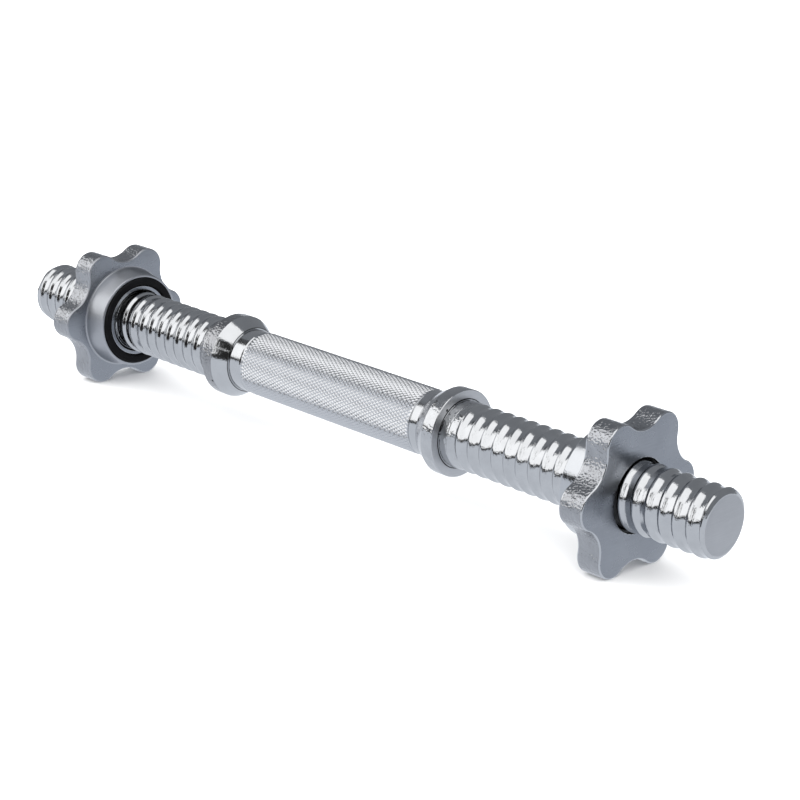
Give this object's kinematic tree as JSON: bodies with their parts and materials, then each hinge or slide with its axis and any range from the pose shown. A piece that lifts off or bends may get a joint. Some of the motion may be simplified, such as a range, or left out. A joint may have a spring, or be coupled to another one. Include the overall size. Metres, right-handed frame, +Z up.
{
  "type": "adjustable dumbbell handle",
  "caption": "Chrome dumbbell handle with a knurled grip, fixed inner collars, coarse threaded ends and rubber-faced star nuts that screw on to hold weight plates.",
  "frame": {"origin": "middle of the bar on its axis", "axes": "+X along the bar, +Z up; the handle lies on two lobes of each star nut"},
  "size_m": [0.3572, 0.0604, 0.0542],
  "materials": {
    "bar_chrome": "bright chrome plating over a rolled thread and a cut diamond knurl",
    "collar_chrome": "bright chrome plating over turned steel, finely turned outer face",
    "nut_chrome": "chrome plating over a casting, flat satin faces, polished rim with a slight cast texture",
    "ring_rubber": "matt black moulded rubber"
  },
  "bodies": {
    "handle": {"bar": "bar_chrome", "collar_right": "collar_chrome", "collar_left": "collar_chrome"},
    "ring_right": {"rubber_ring_right": "ring_rubber"},
    "nut_right": {"star_nut_right": "nut_chrome"},
    "ring_left": {"rubber_ring_left": "ring_rubber"},
    "nut_left": {"star_nut_left": "nut_chrome"}
  },
  "joints": [
    {"name": "travel_right", "type": "slide", "parent": "handle", "child": "ring_right", "axis": [1, 0, 0], "range_m": [-0.0532, 0.0584]},
    {"name": "spin_right", "type": "hinge", "parent": "ring_right", "child": "nut_right", "pos_m": [0.139, 0, 0], "axis": [1, 0, 0], "range_deg": [-3380, 3700]},
    {"name": "travel_left", "type": "slide", "parent": "handle", "child": "ring_left", "axis": [-1, 0, 0], "range_m": [-0.0511, 0.0606]},
    {"name": "spin_left", "type": "hinge", "parent": "ring_left", "child": "nut_left", "pos_m": [-0.136, 0, 0], "axis": [-1, 0, 0], "range_deg": [-3240, 3840]}
  ],
  "couplings": [
    {"joint": "travel_right", "follows": "spin_right", "m_per_rad": 0.00089923},
    {"joint": "travel_left", "follows": "spin_left", "m_per_rad": 0.00089923}
  ]
}
